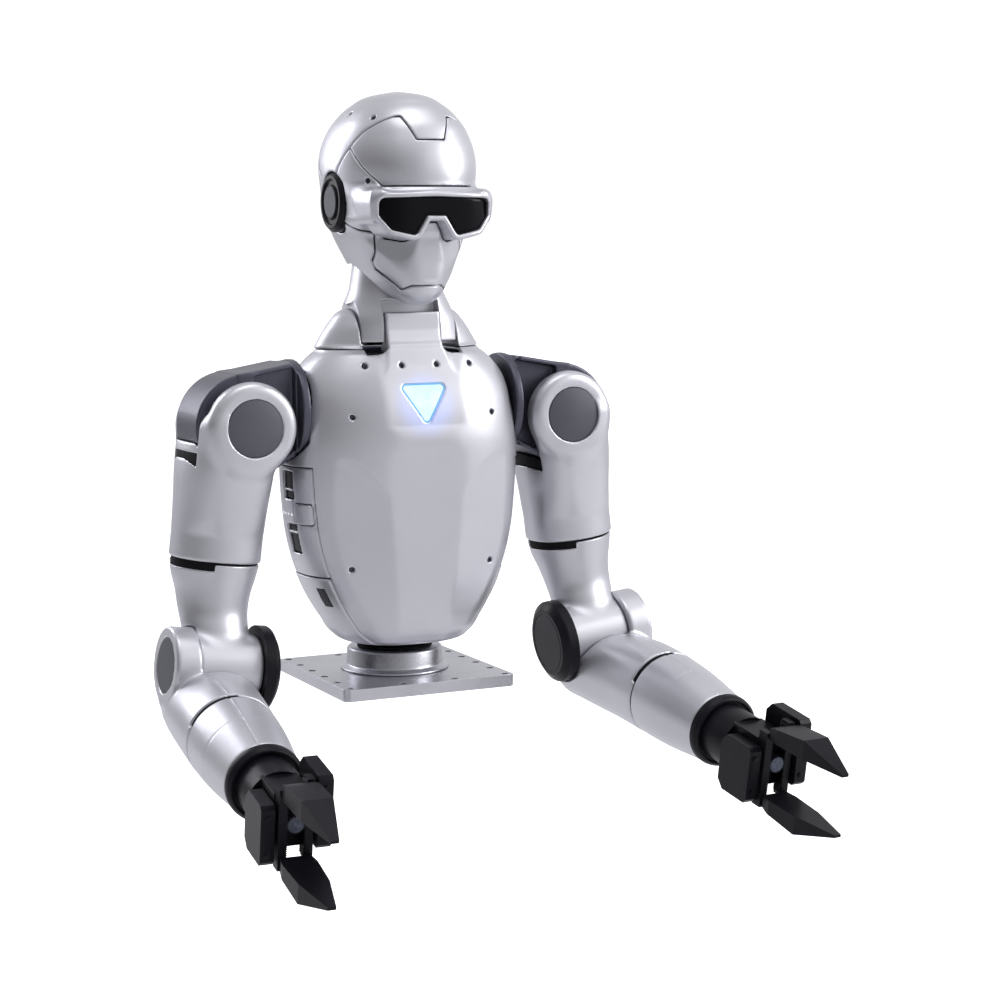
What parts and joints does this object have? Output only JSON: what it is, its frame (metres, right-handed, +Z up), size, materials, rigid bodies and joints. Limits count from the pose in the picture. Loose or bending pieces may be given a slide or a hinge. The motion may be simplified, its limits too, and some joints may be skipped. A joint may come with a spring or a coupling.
{
  "type": "humanoid robot upper body",
  "caption": "Humanoid robot upper body on a square base plate: visored head, faceted torso and bent arms with rack-driven parallel grippers.",
  "frame": {"origin": "centre of the base plate's underside", "axes": "+Z up, -Y the way the face looks, +X towards the robot's left arm"},
  "size_m": [0.5954, 0.5946, 0.7497],
  "materials": {
    "silver_paint": "satin silver metallic paint",
    "cast_metal": "satin silver",
    "dark_paint": "satin gunmetal",
    "disc_grey": "matte grey",
    "black_plastic": "satin black",
    "lens": "gloss black",
    "lamp": "glowing white-blue diffuser",
    "steel": "machined",
    "circuit": "painted case"
  },
  "bodies": {
    "base": {"base_plate": "cast_metal", "pedestal_collar": "cast_metal", "waist_bearing": "black_plastic"},
    "torso": {"waist_rotor": "black_plastic", "torso_frame": "dark_paint", "chest_cover": "silver_paint", "back_cover": "silver_paint", "side_panel_left": "silver_paint", "side_panel_right": "silver_paint", "chest_lamp": "lamp", "compute_box": "circuit", "trapezius_left": "silver_paint", "trapezius_right": "silver_paint", "shoulder_motor_left": "black_plastic", "shoulder_motor_right": "black_plastic"},
    "power_key": {"power_button": "silver_paint"},
    "neck": {"neck_shell": "silver_paint", "neck_motor": "black_plastic"},
    "head": {"skull_shell": "silver_paint", "brow_panel": "silver_paint", "jaw_shell": "silver_paint", "face_mask": "silver_paint", "visor_frame": "silver_paint", "visor_lens": "lens", "head_core": "black_plastic", "ear_left": "black_plastic", "ear_right": "black_plastic"},
    "shoulder_left": {"shoulder_yoke_left": "dark_paint", "shoulder_roll_motor_left": "black_plastic"},
    "upper_arm_left": {"upper_arm_shell_left": "silver_paint", "shoulder_disc_left": "disc_grey"},
    "elbow_left": {"elbow_housing_left": "silver_paint", "elbow_cap_left": "black_plastic"},
    "forearm_left": {"forearm_shell_left": "silver_paint", "elbow_disc_left": "disc_grey"},
    "wrist_left": {"wrist_shell_left": "silver_paint", "wrist_ring_left": "black_plastic", "gripper_palm_left": "black_plastic", "gripper_guard_low_left": "black_plastic", "gripper_guard_high_left": "black_plastic"},
    "jaw_upper_left": {"finger_upper_left": "black_plastic"},
    "jaw_lower_left": {"finger_lower_left": "black_plastic"},
    "pinion_gear_left": {"pinion_left": "steel"},
    "shoulder_right": {"shoulder_yoke_right": "dark_paint", "shoulder_roll_motor_right": "black_plastic"},
    "upper_arm_right": {"upper_arm_shell_right": "silver_paint", "shoulder_disc_right": "disc_grey"},
    "elbow_right": {"elbow_housing_right": "silver_paint", "elbow_cap_right": "black_plastic"},
    "forearm_right": {"forearm_shell_right": "silver_paint", "elbow_disc_right": "disc_grey"},
    "wrist_right": {"wrist_shell_right": "silver_paint", "wrist_ring_right": "black_plastic", "gripper_palm_right": "black_plastic", "gripper_guard_low_right": "black_plastic", "gripper_guard_high_right": "black_plastic"},
    "jaw_upper_right": {"finger_upper_right": "black_plastic"},
    "jaw_lower_right": {"finger_lower_right": "black_plastic"},
    "pinion_gear_right": {"pinion_right": "steel"}
  },
  "joints": [
    {"name": "waist_yaw", "type": "hinge", "parent": "base", "child": "torso", "pos_m": [0, 0, 0.042], "axis": [0, 0, 1], "range_deg": [-150, 150]},
    {"name": "power_key_press", "type": "slide", "parent": "torso", "child": "power_key", "axis": [1, 0, 0], "range_m": [0, 0.0015], "stiffness_N_per_m": 300},
    {"name": "neck_pitch", "type": "hinge", "parent": "torso", "child": "neck", "pos_m": [0, -0.014, 0.392], "axis": [1, 0, 0], "range_deg": [-12, 12]},
    {"name": "head_yaw", "type": "hinge", "parent": "neck", "child": "head", "pos_m": [0, -0.014, 0.463], "axis": [0, 0, 1], "range_deg": [-65, 65]},
    {"name": "shoulder_pitch_left", "type": "hinge", "parent": "torso", "child": "shoulder_left", "pos_m": [0.128, -0.015, 0.306], "axis": [1, 0, 0], "range_deg": [-120, 40]},
    {"name": "shoulder_roll_left", "type": "hinge", "parent": "shoulder_left", "child": "upper_arm_left", "pos_m": [0.1855, -0.015, 0.2924], "axis": [0, -1, 0], "range_deg": [-5, 80]},
    {"name": "arm_yaw_left", "type": "hinge", "parent": "upper_arm_left", "child": "elbow_left", "pos_m": [0.212, -0.013, 0.14947], "axis": [-0.1219, 0, 0.9925], "range_deg": [-25, 70]},
    {"name": "elbow_pitch_left", "type": "hinge", "parent": "elbow_left", "child": "forearm_left", "pos_m": [0.22538, -0.0483, 0.04049], "axis": [-0.9925, 0, -0.1219], "range_deg": [-65, 40]},
    {"name": "forearm_roll_left", "type": "hinge", "parent": "forearm_left", "child": "wrist_left", "pos_m": [0.2555, -0.283, -0.03], "axis": [0.0531, -0.9833, -0.174], "range_deg": [-90, 90]},
    {"name": "jaw_upper_slide_left", "type": "slide", "parent": "wrist_left", "child": "jaw_upper_left", "axis": [0.0094, -0.1737, 0.9847], "range_m": [-0.027, 0.006]},
    {"name": "jaw_lower_slide_left", "type": "slide", "parent": "wrist_left", "child": "jaw_lower_left", "axis": [0.0094, -0.1737, 0.9847], "range_m": [-0.0061, 0.0271]},
    {"name": "pinion_spin_left", "type": "hinge", "parent": "wrist_left", "child": "pinion_gear_left", "pos_m": [0.26028, -0.3715, -0.04566], "axis": [0.0531, -0.9833, -0.174], "range_deg": [-190, 45]},
    {"name": "shoulder_pitch_right", "type": "hinge", "parent": "torso", "child": "shoulder_right", "pos_m": [-0.128, -0.015, 0.306], "axis": [1, 0, 0], "range_deg": [-120, 40]},
    {"name": "shoulder_roll_right", "type": "hinge", "parent": "shoulder_right", "child": "upper_arm_right", "pos_m": [-0.1855, -0.015, 0.2924], "axis": [0, 1, 0], "range_deg": [-5, 80]},
    {"name": "arm_yaw_right", "type": "hinge", "parent": "upper_arm_right", "child": "elbow_right", "pos_m": [-0.212, -0.013, 0.14947], "axis": [-0.1219, 0, -0.9925], "range_deg": [-25, 70]},
    {"name": "elbow_pitch_right", "type": "hinge", "parent": "elbow_right", "child": "forearm_right", "pos_m": [-0.22538, -0.0483, 0.04049], "axis": [-0.9925, 0, 0.1219], "range_deg": [-65, 40]},
    {"name": "forearm_roll_right", "type": "hinge", "parent": "forearm_right", "child": "wrist_right", "pos_m": [-0.2555, -0.283, -0.03], "axis": [-0.0531, -0.9833, -0.174], "range_deg": [-90, 90]},
    {"name": "jaw_upper_slide_right", "type": "slide", "parent": "wrist_right", "child": "jaw_upper_right", "axis": [-0.0094, -0.1737, 0.9847], "range_m": [-0.027, 0.006]},
    {"name": "jaw_lower_slide_right", "type": "slide", "parent": "wrist_right", "child": "jaw_lower_right", "axis": [-0.0094, -0.1737, 0.9847], "range_m": [-0.0061, 0.0271]},
    {"name": "pinion_spin_right", "type": "hinge", "parent": "wrist_right", "child": "pinion_gear_right", "pos_m": [-0.26028, -0.3715, -0.04566], "axis": [-0.0531, -0.9833, -0.174], "range_deg": [-190, 45]}
  ],
  "couplings": [
    {"joint": "jaw_lower_slide_left", "follows": "jaw_upper_slide_left", "ratio": -1},
    {"joint": "pinion_spin_left", "follows": "jaw_upper_slide_left", "rad_per_m": 119.05},
    {"joint": "jaw_lower_slide_right", "follows": "jaw_upper_slide_right", "ratio": -1},
    {"joint": "pinion_spin_right", "follows": "jaw_upper_slide_right", "rad_per_m": 119.05}
  ]
}
